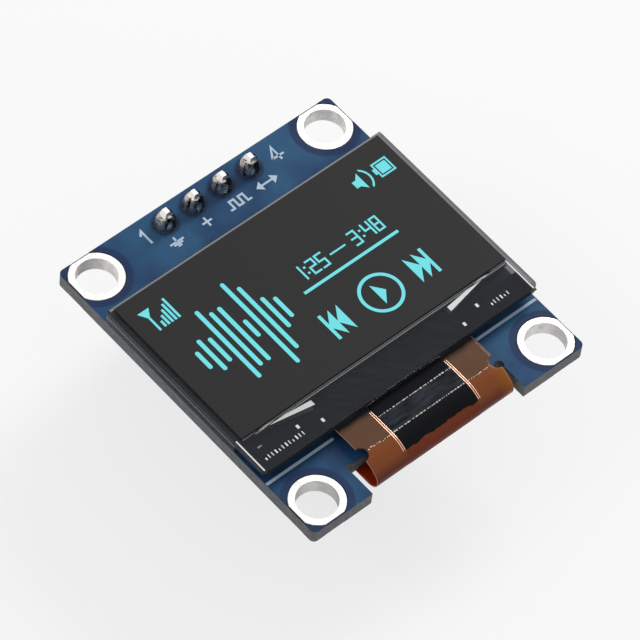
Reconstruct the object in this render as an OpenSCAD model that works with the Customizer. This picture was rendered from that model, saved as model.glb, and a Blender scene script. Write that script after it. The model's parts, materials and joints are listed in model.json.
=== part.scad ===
// Small OLED display module: a glass panel with a folded film, on a circuit board with a pin header.
// Millimetres. +X is to the right, +Y towards the header and +Z out of the screen. The origin is on
// the board's back face, at the centre of the four mounting holes.

/* [Glass panel] */
// Width of the lit area
active_w = 21.8; // [20:0.1:23]
// Glass beside the lit area
active_side = 1.45; // [1.3:0.05:1.8]
// Glass above the lit area
active_top = 1.32; // [1.2:0.02:1.6]
// Glass below the lit area, ledge included
active_low = 4.33; // [4.3:0.01:4.8]
// Thickness of the foam tape under the panel
tape_t = 0.25; // [0.2:0.05:0.5]
// Distance of the foam tape inside the rear glass
tape_inset = 1; // [0.4:0.1:2]
// Thickness of the rear glass
rear_glass_t = 0.55; // [0.4:0.05:0.7]
// Thickness of the front glass
front_glass_t = 0.55; // [0.4:0.05:0.7]
// Thickness of the seal between the two glasses
seal_t = 0.05; // [0.04:0.01:0.1]
// Width of the seal
seal_w = 0.9; // [0.6:0.1:1.1]
// Height of the front glass's bare ledge, below the rear glass
ledge_h = 3.1; // [2.9:0.1:3.2]
// Radius of the ledge's corners
ledge_corner_r = 0.5; // [0.2:0.1:0.8]
// Radius of the glass's upper corners
glass_corner_r = 0.1; // [0.05:0.05:0.3]
// Thickness of the polariser
polariser_t = 0.2; // [0.15:0.05:0.3]
// Bare glass beside the polariser
polariser_side = 0.45; // [0.2:0.05:0.6]
// Bare glass above the polariser
polariser_top = 0.25; // [0.1:0.05:0.5]
// Height of the bare glass below the polariser
polariser_bottom = 3; // [2.8:0.1:3.2]
// Thickness of the organic pixel layer
pixel_t = 0.03; // [0.02:0.005:0.035]
// Depth of the pocket etched into the rear glass
pocket_depth = 0.2; // [0.15:0.05:0.3]
// Distance of the drying patch inside the pocket
dryer_inset = 0.9; // [0.4:0.1:1.5]
// Thickness of the drying patch
dryer_t = 0.12; // [0.08:0.02:0.14]
// Depth of the lit shapes in the polariser's face
lit_depth = 0.06; // [0.04:0.01:0.1]

/* [Board] */
// How far the glass stands out past each side of the board
glass_overhang = 0.1; // [0:0.05:0.3]
// Height of the board below the glass
board_low = 5; // [4.8:0.1:8]
// Height of the board above the glass
board_high = 5.25; // [5:0.05:8]
// Thickness of the finished board, solder mask included
board_t = 1.2; // [0.8:0.1:1.6]
// Radius of the board's outer corners
board_corner_r = 0.4; // [0.2:0.1:0.8]
// Thickness of each layer of solder mask
mask_t = 0.03; // [0.02:0.01:0.05]
// Ring of bare board between a pad and the solder mask
mask_gap = 0.08; // [0.05:0.01:0.12]
// Gap between the film and each side of the notch
notch_clearance = 0.75; // [0.5:0.05:1]
// Depth of the notch
notch_depth = 2.6; // [2.4:0.1:3.2]
// Distance of the notch's centre from the board's centre line
notch_x = -0.2; // [-0.3:0.05:0.3]
// Radius of the relief drilled into the notch's inner corners
notch_relief_r = 0.35; // [0.2:0.05:0.5]

/* [Mounting holes] */
// Distance of each hole's centre inside the board's two edges
hole_inset = 1.9; // [1.7:0.05:2.1]
// Radius of each plated mounting hole
hole_r = 1.5; // [1.1:0.05:1.55]
// Width of the pad round each mounting hole
hole_pad_w = 0.5; // [0.3:0.05:0.6]
// Thickness of the plated wall in a hole
plating_t = 0.05; // [0.03:0.01:0.1]
// Height of a tinned pad above the solder mask
pad_proud = 0.03; // [0.02:0.01:0.06]
// Bare edge left between a cut pad and the board's edge
pad_edge_gap = 0.1; // [0.05:0.05:0.2]

/* [Pin header] */
// Number of pins
pin_count = 4; // [3:1:5]
// Distance between pins
pin_pitch = 2.54; // [2.4:0.02:2.7]
// Distance of the pin row from the board's top edge
pin_row_inset = 1.37; // [1.3:0.01:1.6]
// Side of a square pin
pin_w = 0.64; // [0.5:0.02:0.66]
// Length of the slope at a pin's end
pin_point = 0.3; // [0.1:0.05:0.35]
// Long side of the flat at a pin's end
pin_flat_w = 0.48; // [0.3:0.02:0.5]
// Height of the soldered pin tip above the board
pin_tip_h = 1.55; // [1.3:0.05:2]
// Length of the pin below the plastic strip
pin_tail = 6; // [4:0.5:12]
// Height of the plastic strip
strip_h = 2.5; // [2:0.1:3]
// Depth of the plastic strip
strip_w = 2.5; // [2:0.1:2.6]
// Corner cut between the cells of the strip
strip_cut = 0.45; // [0.2:0.05:0.6]
// Gap between a pin's corners and its plated hole
pin_gap = 0.05; // [0.02:0.01:0.1]
// Width of the pad round a pin hole
pin_pad_w = 0.28; // [0.25:0.01:0.4]
// Height of the solder that climbs a pin
solder_h = 1.15; // [0.7:0.05:1.2]
// Thickness of the solder at its top, off the pin's corners
solder_top_w = 0.03; // [0.02:0.01:0.1]

/* [Film] */
// Width of the film
film_w = 12.3; // [11.8:0.1:12.6]
// Thickness of the film
film_t = 0.08; // [0.06:0.01:0.12]
// Thickness of the bonding strip between film and glass
bond_t = 0.02; // [0.01:0.005:0.03]
// Length of film bonded behind the ledge
bond_len = 2.65; // [2.2:0.05:2.7]
// Height of the metal tracks where they leave the film's side
fan_h = 0.9; // [0.5:0.05:1.2]
// Gap between the film's side and the metal tracks
fan_gap = 0.05; // [0.03:0.01:0.2]
// Height that the film rises before the chip
rise = 0.07; // [0.02:0.01:0.1]
// Radius of the fold's upper bend
bend_r = 2.2; // [2:0.1:2.4]
// Angle that the upper bend turns through
bend_angle = 50; // [40:5:60]
// Distance of the fold inside the board's bottom edge
fold_inset = 0.5; // [0.2:0.05:0.8]
// Gap between the film's tail and the board's back
tail_gap = 0.06; // [0.04:0.01:0.1]
// Length of the tail behind the board, from the fold's end
tail_len = 5.6; // [5:0.1:6]
// Length of a soldered contact at the tail's end
contact_len = 1.4; // [1:0.1:1.8]
// Film left free past the contacts, at the end and beside them
contact_margin = 0.4; // [0.2:0.1:0.6]
// Radius of the notch in each side of the film
film_notch_r = 0.55; // [0.3:0.05:0.7]
// Width of the black coating over the chip
coat_w = 6.5; // [6:0.1:7]
// Thickness of the coating and of the copper lines
coat_t = 0.02; // [0.01:0.005:0.03]
// Width of a copper guard line
guard_w = 0.09; // [0.05:0.01:0.12]
// Gap between the two copper guard lines
guard_gap = 0.12; // [0.08:0.01:0.15]
// Number of copper traces round the fold
trace_count = 30; // [20:1:32]
// Width of a copper trace
trace_w = 0.1; // [0.06:0.01:0.12]
// Length of the driver chip
chip_len = 6.3; // [5.5:0.1:6.5]
// Width of the driver chip
chip_w = 1.1; // [0.9:0.05:1.2]
// Thickness of the driver chip
chip_t = 0.35; // [0.2:0.05:0.4]
// Width of the resin round the chip's foot
resin_w = 0.12; // [0.05:0.01:0.15]
// Flat film left round the resin
chip_margin = 0.1; // [0.05:0.01:0.2]

/* [Back components] */
// Length of a chip resistor or capacitor
smd_len = 1.6; // [1:0.1:1.8]
// Width of a chip resistor or capacitor
smd_w = 0.8; // [0.5:0.05:0.9]
// Length of the metal cap on each end of a chip
smd_cap = 0.3; // [0.15:0.05:0.4]
// Thickness of a chip resistor
resistor_t = 0.45; // [0.3:0.05:0.6]
// Thickness of a chip capacitor
capacitor_t = 0.8; // [0.5:0.05:0.9]
// Distance of the component rows inside the board's sides
smd_side = 2.75; // [2.5:0.05:3.5]
// Number of resistors
resistor_count = 8; // [4:1:8]
// Number of capacitors
capacitor_count = 7; // [4:1:7]
// Distance of the resistor row below the board's top edge
resistor_row = 8; // [7.6:0.1:8.6]
// Distance of the capacitor row below the resistor row
capacitor_row = 4.6; // [4:0.1:5]
// Length of a solder fillet beside a component
fillet_len = 0.3; // [0.15:0.05:0.4]
// Distance of the regulator and the diode below the board's top edge
regulator_row = 4.4; // [4.2:0.05:4.6]
// Distance of the regulator and the diode inside the board's sides
regulator_inset = 4.6; // [4.5:0.05:4.8]
// Length of the regulator
regulator_len = 2.9; // [2.5:0.1:3]
// Width of the regulator and the diode
regulator_w = 1.3; // [1:0.1:1.4]
// Height of the regulator and the diode
regulator_t = 1.1; // [0.8:0.05:1.3]
// Length of the diode
diode_len = 1.7; // [1.4:0.1:1.9]
// Gap between a moulded body and the board
body_gap = 0.1; // [0.05:0.05:0.2]
// Width of a lead
lead_w = 0.4; // [0.3:0.05:0.5]
// Thickness of a lead
lead_t = 0.12; // [0.08:0.02:0.16]
// Distance that a lead reaches out from its body
lead_reach = 0.45; // [0.35:0.05:0.6]

/* [Hidden] */
$fn = 48;

cut = 0.5;                              // how far a cutting shape runs past the face that it cuts

// The panel is sized from its lit area, and the board from the panel
dot = active_w / 128;
active_h = 64 * dot;
panel_w = active_w + 2 * active_side;
panel_h = active_h + active_top + active_low;
board_w = panel_w - 2 * glass_overhang;
board_h = panel_h + board_low + board_high;
board_bottom = -board_h / 2;
panel_bottom = board_bottom + board_low;
panel_top = panel_bottom + panel_h;
active_y = panel_bottom + active_low + active_h / 2;
rear_bottom = panel_bottom + ledge_h;
polariser_low = panel_bottom + polariser_bottom;
polariser_high = panel_top - polariser_top;

hole_pitch_x = board_w - 2 * hole_inset;
hole_pitch_y = board_h - 2 * hole_inset;
hole_pad_r = hole_r + hole_pad_w;
pin_row_y = board_h / 2 - pin_row_inset;
pin_corner_r = pin_w * sqrt(2) / 2;
pin_hole_r = pin_corner_r + pin_gap;
pin_pad_r = pin_hole_r + pin_pad_w;
notch_w = film_w + 2 * notch_clearance;
core_low = mask_t;
core_high = board_t - mask_t;

// Heights of the panel's layers, from the board up
tape_z = board_t;
rear_z = tape_z + tape_t;
seal_z = rear_z + rear_glass_t;
front_z = seal_z + seal_t;
polariser_z = front_z + front_glass_t;
screen_z = polariser_z + polariser_t;

// Heights of the film's outer face, and the bends that join them
film_high = front_z - bond_t + rise;
film_low = -tail_gap - film_t;
fold_r = (film_high - film_low - bend_r * (1 - cos(bend_angle))) / (1 + cos(bend_angle));
bend_y = board_bottom + fold_inset + (bend_r - fold_r) * sin(bend_angle) + fold_r;
bend_z = film_high - bend_r;
fold_y = bend_y - (bend_r - fold_r) * sin(bend_angle);
fold_z = bend_z + (bend_r - fold_r) * cos(bend_angle);
rise_end = bend_y + chip_w + 2 * resin_w + 2 * chip_margin;
tail_end = fold_y + tail_len;
chip_y = (rise_end + bend_y) / 2;

// Stations along the film's outer face, each [y, z, angle turned from facing up]
function bend(y, z, r, from, to, steps) =
    [for (i = [0:steps]) let (a = from + (to - from) * i / steps)
        [y - r * sin(a), z + r * cos(a), a]];
film_path = concat(
    [[panel_bottom + bond_len, front_z - bond_t, 0], [panel_bottom, front_z - bond_t, 0],
     [rise_end, film_high, 0]],
    bend(bend_y, bend_z, bend_r, 0, bend_angle, 5),
    bend(fold_y, fold_z, fold_r, bend_angle + 10, 180, 12),
    [[tail_end, film_low, 180]]);
coat_end = 7;                           // station where the black coating ends
path_end = len(film_path) - 1;

function lifted(s, d) = [s[0] - d * sin(s[2]), s[1] + d * cos(s[2])];

// The lit picture, measured in dots of the screen from the lit area's centre
bar_heights = [4, 8, 6, 19, 15, 15, 4, 23, 17.5, 8, 5];
bar_width = 1.9;
bar_step = 4.16;
wave_place = [-36.8, -2.5];
line_place = [-5.2, -3.5];
line_size = [50, 1.4];
key_row = -21.4;                        // height of the player keys' centre line
key_height = 6.9;                       // half height of a skip key
key_bar = 1.5;                          // width of a skip key's bar
arrow_step = 4.35;                      // distance between the two arrows of a skip key
arrow_lap = 0.3;                        // how far one arrow's point runs into the next
back_key_x = -8;
next_key_x = 45.3;
play_key_x = 19.4;
play_radius = 9.7;
play_ring = 1.5;
aerial_place = [-61.6, 19];
step_place = [-58.8, 19.2];
speaker_place = [47.6, 24.8];
battery_place = [61.2, 24.8];

function row_x(i, count, pitch) = (i - (count - 1) / 2) * pitch;

module plate(w, h, r_low, r_high) {
    arc = function (x, y, r, from) [for (a = [0:15:90]) [x + r * cos(from + a), y + r * sin(from + a)]];
    polygon(concat(arc(w / 2 - r_high, h / 2 - r_high, r_high, 0),
                   arc(-w / 2 + r_high, h / 2 - r_high, r_high, 90),
                   arc(-w / 2 + r_low, -h / 2 + r_low, r_low, 180),
                   arc(w / 2 - r_low, -h / 2 + r_low, r_low, 270)));
}

module slab(z, t) {
    translate([0, 0, z]) linear_extrude(t) children();
}

module at_holes() {
    for (x = [-1, 1], y = [-1, 1]) translate([x * hole_pitch_x / 2, y * hole_pitch_y / 2]) children();
}

module at_pins() {
    for (i = [0:pin_count - 1]) translate([row_x(i, pin_count, pin_pitch), pin_row_y]) children();
}

// Board

module board_outline() {
    difference() {
        plate(board_w, board_h, board_corner_r, board_corner_r);
        translate([notch_x - notch_w / 2, board_bottom - cut]) square([notch_w, notch_depth + cut]);
        for (s = [-1, 1])
            translate([notch_x + s * (notch_w / 2 - notch_relief_r / 2),
                       board_bottom + notch_depth - notch_relief_r / 2]) circle(notch_relief_r);
    }
}

module laminate() {
    color("darkkhaki") slab(core_low, core_high - core_low) difference() {
        board_outline();
        at_holes() circle(hole_r + plating_t);
        at_pins() circle(pin_hole_r + plating_t);
    }
}

module solder_mask(z) {
    slab(z, mask_t) difference() {
        board_outline();
        at_holes() circle(hole_pad_r + mask_gap);
        at_pins() circle(pin_pad_r + mask_gap);
    }
}

module solder_mask_front() {
    color("midnightblue") solder_mask(core_high);
}

module solder_mask_back() {
    color("midnightblue") solder_mask(0);
}

// A plated hole: the wall in the board and a pad on each face, cut straight along the board's edges
module hole_plating(sx, sy) {
    pad_t = mask_t + pad_proud;
    color("gainsboro") difference() {
        intersection() {
            translate([sx * hole_pitch_x / 2, sy * hole_pitch_y / 2]) {
                translate([0, 0, -pad_proud]) cylinder(pad_t, r1 = hole_pad_r - pad_proud, r2 = hole_pad_r);
                translate([0, 0, core_high]) cylinder(pad_t, r1 = hole_pad_r, r2 = hole_pad_r - pad_proud);
                translate([0, 0, core_low]) cylinder(core_high - core_low, r = hole_r + plating_t);
            }
            translate([-board_w / 2 + pad_edge_gap, -board_h / 2 + pad_edge_gap, -cut])
                cube([board_w - 2 * pad_edge_gap, board_h - 2 * pad_edge_gap, board_t + 2 * cut]);
        }
        translate([sx * hole_pitch_x / 2, sy * hole_pitch_y / 2, -cut])
            cylinder(board_t + 2 * cut, r = hole_r);
    }
}

// Header

module pin_hole_plating() {
    color("gainsboro") at_pins() difference() {
        union() {
            translate([0, 0, -pad_proud]) cylinder(mask_t + pad_proud, r = pin_pad_r);
            translate([0, 0, core_low]) cylinder(core_high - core_low, r = pin_hole_r + plating_t);
            translate([0, 0, core_high]) cylinder(mask_t + pad_proud, r = pin_pad_r);
        }
        translate([0, 0, -cut]) cylinder(board_t + 2 * cut, r = pin_hole_r);
    }
}

strip_top = -pad_proud;
pin_low = strip_top - strip_h - pin_tail;
pin_high = board_t + pin_tip_h;

module header_strip() {
    cell = [[-pin_pitch / 2, -strip_w / 2 + strip_cut], [-pin_pitch / 2 + strip_cut, -strip_w / 2],
            [pin_pitch / 2 - strip_cut, -strip_w / 2], [pin_pitch / 2, -strip_w / 2 + strip_cut],
            [pin_pitch / 2, strip_w / 2 - strip_cut], [pin_pitch / 2 - strip_cut, strip_w / 2],
            [-pin_pitch / 2 + strip_cut, strip_w / 2], [-pin_pitch / 2, strip_w / 2 - strip_cut]];
    color("dimgray") slab(strip_top - strip_h, strip_h) difference() {
        union() {
            at_pins() polygon(cell);
            translate([0, pin_row_y])
                square([(pin_count - 1) * pin_pitch, strip_w - 2 * strip_cut], center = true);
        }
        at_pins() square(pin_w, center = true);
    }
}

// A pin seen from one side, with both ends sloped in to a flat
module pin_profile(flat_w) {
    polygon([[-pin_w / 2, pin_low + pin_point], [-flat_w / 2, pin_low], [flat_w / 2, pin_low],
             [pin_w / 2, pin_low + pin_point], [pin_w / 2, pin_high - pin_point],
             [flat_w / 2, pin_high], [-flat_w / 2, pin_high], [-pin_w / 2, pin_high - pin_point]]);
}

module header_pins() {
    color("gold") at_pins() intersection() {
        rotate([90, 0, 0]) translate([0, 0, -pin_w / 2]) linear_extrude(pin_w) pin_profile(pin_w / 2);
        rotate([90, 0, 90]) translate([0, 0, -pin_w / 2]) linear_extrude(pin_w) pin_profile(pin_flat_w);
    }
}

// Solder that fills each pin hole and climbs the pin in a full, round-sided drop
module pin_solder() {
    base = board_t + pad_proud;
    top_r = pin_corner_r + solder_top_w;
    flank = [for (u = [0:0.125:1]) [top_r + (pin_pad_r - top_r) * (1 - pow(u, 1.8)), base + solder_h * u]];
    color("silver") at_pins() difference() {
        rotate_extrude() polygon(concat([[0, -pad_proud], [pin_hole_r, -pad_proud], [pin_hole_r, base]],
                                        flank, [[0, base + solder_h]]));
        translate([-pin_w / 2, -pin_w / 2, -cut]) cube([pin_w, pin_w, base + solder_h + 2 * cut]);
    }
}

// Glass panel

module rear_plate(inset) {
    translate([0, (rear_bottom + panel_top) / 2])
        plate(panel_w - 2 * inset, panel_top - rear_bottom - 2 * inset, glass_corner_r, glass_corner_r);
}

module foam_tape() {
    color("black") slab(tape_z, tape_t) rear_plate(tape_inset);
}

module lit_area(inset) {
    translate([0, active_y]) square([active_w - 2 * inset, active_h - 2 * inset], center = true);
}

module rear_glass() {
    color("lightsteelblue") difference() {
        slab(rear_z, rear_glass_t) rear_plate(0);
        slab(seal_z - pocket_depth, pocket_depth + cut) lit_area(0);
    }
}

module drying_patch() {
    color("white") slab(seal_z - pocket_depth, dryer_t) lit_area(dryer_inset);
}

module glass_seal() {
    color("wheat") slab(seal_z, seal_t) difference() {
        rear_plate(0);
        rear_plate(seal_w);
    }
}

module pixel_layer() {
    color("darkslategray") slab(front_z - pixel_t, pixel_t) lit_area(0);
}

module front_glass() {
    color("lightsteelblue") slab(front_z, front_glass_t) translate([0, (panel_bottom + panel_top) / 2])
        plate(panel_w, panel_h, ledge_corner_r, glass_corner_r);
}

module polariser() {
    color([0.2, 0.2, 0.21]) difference() {
        slab(polariser_z, polariser_t) translate([0, (polariser_low + polariser_high) / 2])
            square([panel_w - 2 * polariser_side, polariser_high - polariser_low], center = true);
        slab(screen_z - lit_depth, lit_depth + cut) {
            waveform_shape();
            progress_shape();
            keys_shape();
            status_shape();
        }
    }
}

// Lit picture

module lit() {
    color("paleturquoise") slab(screen_z - lit_depth, lit_depth) children();
}

// Draws its children in dots, from the lit area's centre
module picture(place) {
    translate([0, active_y]) scale(dot) translate(place) children();
}

module waveform_shape() {
    bars = len(bar_heights);
    picture(wave_place) for (i = [0:bars - 1]) translate([row_x(i, bars, bar_step), 0])
        polygon([for (s = [1, -1], a = [0:15:180])
            [s * bar_width / 2 * cos(a), s * (bar_heights[i] + bar_width / 2 * sin(a))]]);
}

module progress_shape() {
    picture(line_place) square(line_size);
}

// Two arrows against a bar, pointing towards +X, or towards -X when side is -1
module skip_shape(x, side) {
    picture([x, key_row]) scale([side, 1]) {
        translate([-key_bar / 2, -key_height]) square([key_bar, 2 * key_height]);
        for (i = [0, 1]) translate([-i * arrow_step, 0])
            polygon([[0, 0], [-arrow_step - arrow_lap, -key_height], [-arrow_step - arrow_lap, key_height]]);
    }
}

module keys_shape() {
    skip_shape(back_key_x, -1);
    skip_shape(next_key_x, 1);
    picture([play_key_x, key_row]) {
        difference() {
            circle(play_radius);
            circle(play_radius - play_ring);
        }
        polygon([[-1.8, -5.5], [2.5, 0], [-1.8, 5.5]]);
    }
}

// Aerial, signal steps, loudspeaker and battery along the top of the screen
module status_shape() {
    picture(aerial_place) {
        translate([-0.5, 0]) square([1, 7.6]);
        polygon([[0, 6.7], [2.9, 11.4], [-2.9, 11.4]]);
    }
    picture(step_place) for (i = [0:4]) translate([1.82 * i - 0.55, 0]) square([1.1, 3.2 + 2 * i]);
    picture(speaker_place) {
        polygon([[-2, -1.8], [0, -1.8], [2.4, -4.4], [2.4, 4.4], [0, 1.8], [-2, 1.8]]);
        difference() {
            circle(6.8);
            circle(5.9);
            translate([-12, -12]) square([16, 24]);
        }
    }
    picture(battery_place) {
        difference() {
            translate([-3.9, -3.9]) square([7.8, 7.8]);
            translate([-3.1, -3.1]) square([6.2, 6.2]);
        }
        translate([-2.5, -2.5]) square([5, 5]);
        translate([-5, -1.5]) square([1.1, 3]);
    }
}

module lit_waveform() {
    lit() waveform_shape();
}

module lit_progress_line() {
    lit() progress_shape();
}

module lit_player_keys() {
    lit() keys_shape();
}

module lit_status_icons() {
    lit() status_shape();
}

// Film

// A strip that follows the film, from x0 to x1, between two stations and two heights off its face
module film_strip(x0, x1, first, last, d0, d1) {
    upper = [for (i = [first:last]) lifted(film_path[i], d1)];
    lower = [for (i = [last:-1:first]) lifted(film_path[i], d0)];
    translate([x0, 0, 0]) rotate([90, 0, 90]) linear_extrude(x1 - x0) polygon(concat(upper, lower));
}

module film() {
    color("saddlebrown") difference() {
        film_strip(-film_w / 2, film_w / 2, 0, path_end, -film_t, 0);
        for (s = [-1, 1]) translate([s * film_w / 2, bend_y, board_t / 2])
            cylinder(film_high, r = film_notch_r);
    }
}

module bonding_strip() {
    color("lightgray") slab(front_z - bond_t, bond_t)
        translate([-film_w / 2, panel_bottom]) square([film_w, bond_len]);
}

// Metal tracks on the ledge that fan out from the film to both sides
module glass_traces() {
    inner = film_w / 2 + fan_gap;
    outer = panel_w / 2 - polariser_side;
    color("silver") slab(front_z - bond_t, bond_t) for (s = [-1, 1]) scale([s, 1])
        polygon([[inner, polariser_low], [outer, polariser_low],
                 [(inner + outer) / 2, polariser_low - fan_h / 3], [inner, polariser_low - fan_h]]);
}

module chip_coating() {
    color([0.1, 0.1, 0.12]) film_strip(-coat_w / 2, coat_w / 2, 1, coat_end, 0, coat_t);
}

module guard_lines(side) {
    for (i = [0, 1]) {
        near = coat_w / 2 + i * (guard_w + guard_gap);
        color("darkgoldenrod") scale([side, 1, 1]) film_strip(near, near + guard_w, 1, coat_end, 0, coat_t);
    }
}

module guard_line_left() {
    guard_lines(-1);
}

module guard_line_right() {
    guard_lines(1);
}

module fold_traces() {
    color("firebrick") for (i = [0:trace_count - 1]) {
        x = row_x(i, trace_count, coat_w / trace_count);
        film_strip(x - trace_w / 2, x + trace_w / 2, coat_end, path_end, 0, coat_t);
    }
}

module driver_chip() {
    color([0.15, 0.15, 0.17]) translate([-chip_len / 2, chip_y - chip_w / 2, film_high - film_t - chip_t])
        cube([chip_len, chip_w, chip_t]);
}

// Resin that runs round the chip's foot and holds it to the film
module chip_resin() {
    color("black") difference() {
        translate([-chip_len / 2 - resin_w, chip_y - chip_w / 2 - resin_w, film_high - film_t - chip_t / 2])
            cube([chip_len + 2 * resin_w, chip_w + 2 * resin_w, chip_t / 2]);
        translate([-chip_len / 2, chip_y - chip_w / 2, film_high - film_t - chip_t])
            cube([chip_len, chip_w, 2 * chip_t]);
    }
}

// Soldered contacts between the film's tail and the board's back
module tail_solder() {
    pitch = (film_w - 2 * contact_margin) / trace_count;
    color("silver") for (i = [0:trace_count - 1])
        translate([row_x(i, trace_count, pitch) - pitch / 4, tail_end - contact_margin - contact_len, -tail_gap])
            cube([pitch / 2, contact_len, tail_gap]);
}

// Back components

module chip_part(x, y, t, shade) {
    body = smd_len - 2 * smd_cap;
    translate([x - smd_w / 2, y - smd_len / 2, -t]) {
        color(shade) translate([0, smd_cap, 0]) cube([smd_w, body, t]);
        color("silver") for (end = [0, smd_cap + body]) translate([0, end, 0]) cube([smd_w, smd_cap, t]);
    }
}

smd_pitch = (board_w - 2 * smd_side) / max(resistor_count, capacitor_count);
resistor_y = board_h / 2 - resistor_row;
capacitor_y = resistor_y - capacitor_row;
function resistor_x(i) = row_x(i, resistor_count, smd_pitch);
function capacitor_x(i) = row_x(i, capacitor_count, smd_pitch);

module resistor(i) {
    if (i < resistor_count) chip_part(resistor_x(i), resistor_y, resistor_t, "black");
}

module capacitor(i) {
    if (i < capacitor_count) chip_part(capacitor_x(i), capacitor_y, capacitor_t, "tan");
}

module fillets(t) {
    for (s = [-1, 1]) scale([1, s, 1]) translate([-smd_w / 2, smd_len / 2, 0]) rotate([90, 0, 90])
        linear_extrude(smd_w) polygon([[0, 0], [fillet_len, 0], [0, -t / 2]]);
}

module component_solder() {
    color("silver") {
        for (i = [0:resistor_count - 1]) translate([resistor_x(i), resistor_y]) fillets(resistor_t);
        for (i = [0:capacitor_count - 1]) translate([capacitor_x(i), capacitor_y]) fillets(capacitor_t);
    }
}

// A bent lead that stands on the board and enters the side of a body
module lead() {
    foot = lead_reach - 2 * lead_t;
    entry = regulator_t / 2 + body_gap / 2;
    rotate([90, 0, 90]) translate([0, 0, -lead_w / 2]) linear_extrude(lead_w)
        polygon([[foot - lead_t, 0], [lead_reach, 0], [lead_reach, -lead_t], [foot, -lead_t],
                 [foot, -entry], [-2 * lead_t, -entry], [-2 * lead_t, lead_t - entry],
                 [foot - lead_t, lead_t - entry]]);
}

module leads(x, y, side) {
    translate([x, y]) scale([1, side, 1]) lead();
}

module moulded_body(x, y, w, d) {
    color([0.1, 0.1, 0.1]) translate([x - w / 2, y - d / 2, -regulator_t])
        cube([w, d, regulator_t - body_gap]);
}

regulator_y = board_h / 2 - regulator_row;
regulator_x = -board_w / 2 + regulator_inset;
diode_x = board_w / 2 - regulator_inset;

module voltage_regulator() {
    moulded_body(regulator_x, regulator_y, regulator_len, regulator_w);
    color("silver") {
        leads(regulator_x, regulator_y + regulator_w / 2, 1);
        for (s = [-1, 1]) leads(regulator_x + s * regulator_len / 3, regulator_y - regulator_w / 2, -1);
    }
}

module diode() {
    moulded_body(diode_x, regulator_y, regulator_w, diode_len);
    color("silver") for (s = [-1, 1]) leads(diode_x, regulator_y + s * diode_len / 2, s);
}

laminate();
solder_mask_front();
solder_mask_back();
hole_plating(-1, 1);  // hole_plating_1
hole_plating(1, 1);  // hole_plating_2
hole_plating(1, -1);  // hole_plating_3
hole_plating(-1, -1);  // hole_plating_4
pin_hole_plating();
header_strip();
header_pins();
pin_solder();
foam_tape();
rear_glass();
drying_patch();
glass_seal();
pixel_layer();
front_glass();
polariser();
lit_waveform();
lit_progress_line();
lit_player_keys();
lit_status_icons();
glass_traces();
bonding_strip();
film();
chip_coating();
guard_line_left();
guard_line_right();
fold_traces();
driver_chip();
chip_resin();
tail_solder();
voltage_regulator();
diode();
component_solder();
resistor(0);  // resistor_1
resistor(1);  // resistor_2
resistor(2);  // resistor_3
resistor(3);  // resistor_4
resistor(4);  // resistor_5
resistor(5);  // resistor_6
resistor(6);  // resistor_7
resistor(7);  // resistor_8
capacitor(0);  // capacitor_1
capacitor(1);  // capacitor_2
capacitor(2);  // capacitor_3
capacitor(3);  // capacitor_4
capacitor(4);  // capacitor_5
capacitor(5);  // capacitor_6
capacitor(6);  // capacitor_7
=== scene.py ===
import json
import math
import random

import bmesh
import bpy
from mathutils import Matrix, Vector, noise


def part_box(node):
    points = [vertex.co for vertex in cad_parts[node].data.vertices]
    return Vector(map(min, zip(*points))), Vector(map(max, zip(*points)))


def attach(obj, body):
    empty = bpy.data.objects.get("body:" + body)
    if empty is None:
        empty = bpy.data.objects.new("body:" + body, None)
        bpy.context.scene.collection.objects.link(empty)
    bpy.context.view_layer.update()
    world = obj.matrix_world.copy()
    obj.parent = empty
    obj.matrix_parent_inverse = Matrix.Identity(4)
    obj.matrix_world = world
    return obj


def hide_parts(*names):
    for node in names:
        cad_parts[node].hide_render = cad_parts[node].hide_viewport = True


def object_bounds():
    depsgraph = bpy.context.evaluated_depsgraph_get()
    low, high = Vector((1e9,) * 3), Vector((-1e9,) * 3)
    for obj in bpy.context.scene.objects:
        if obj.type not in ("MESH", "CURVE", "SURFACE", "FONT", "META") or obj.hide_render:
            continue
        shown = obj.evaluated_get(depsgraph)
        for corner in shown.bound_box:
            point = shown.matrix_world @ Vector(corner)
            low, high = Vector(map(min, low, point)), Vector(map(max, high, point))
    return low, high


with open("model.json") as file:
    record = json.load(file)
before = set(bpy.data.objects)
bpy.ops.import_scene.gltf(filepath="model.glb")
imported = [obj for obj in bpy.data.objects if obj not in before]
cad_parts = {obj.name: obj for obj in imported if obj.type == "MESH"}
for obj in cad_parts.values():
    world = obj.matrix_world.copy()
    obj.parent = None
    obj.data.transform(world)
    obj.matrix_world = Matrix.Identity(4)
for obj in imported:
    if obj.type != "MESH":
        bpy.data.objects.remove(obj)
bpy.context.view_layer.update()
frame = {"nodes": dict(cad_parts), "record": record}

mm = 0.001
nodes = frame["nodes"]
chance = random.Random(7)


def inMm(name):
    low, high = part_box(name)
    return Vector(low) / mm, Vector(high) / mm


def linear(code):
    # sRGB hex to linear
    parts = [int(code[i:i + 2], 16) / 255 for i in (1, 3, 5)]
    return [c / 12.92 if c <= 0.04045 else ((c + 0.055) / 1.055) ** 2.4 for c in parts] + [1.0]


def fill(node, settings):
    # a setting is one of the node's options, an input's value, or an output to link to that input
    for key, value in settings.items():
        if isinstance(key, str) and hasattr(node, key):
            setattr(node, key, value)
        elif isinstance(value, bpy.types.NodeSocket):
            node.id_data.links.new(value, node.inputs[key])
        elif isinstance(value, str):
            node.inputs[key].default_value = linear(value)
        else:
            node.inputs[key].default_value = value


def addNode(tree, kind, settings, out=0):
    node = tree.nodes.new("ShaderNode" + kind)
    fill(node, settings)
    return node.outputs if out is None else node.outputs[out]


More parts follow.
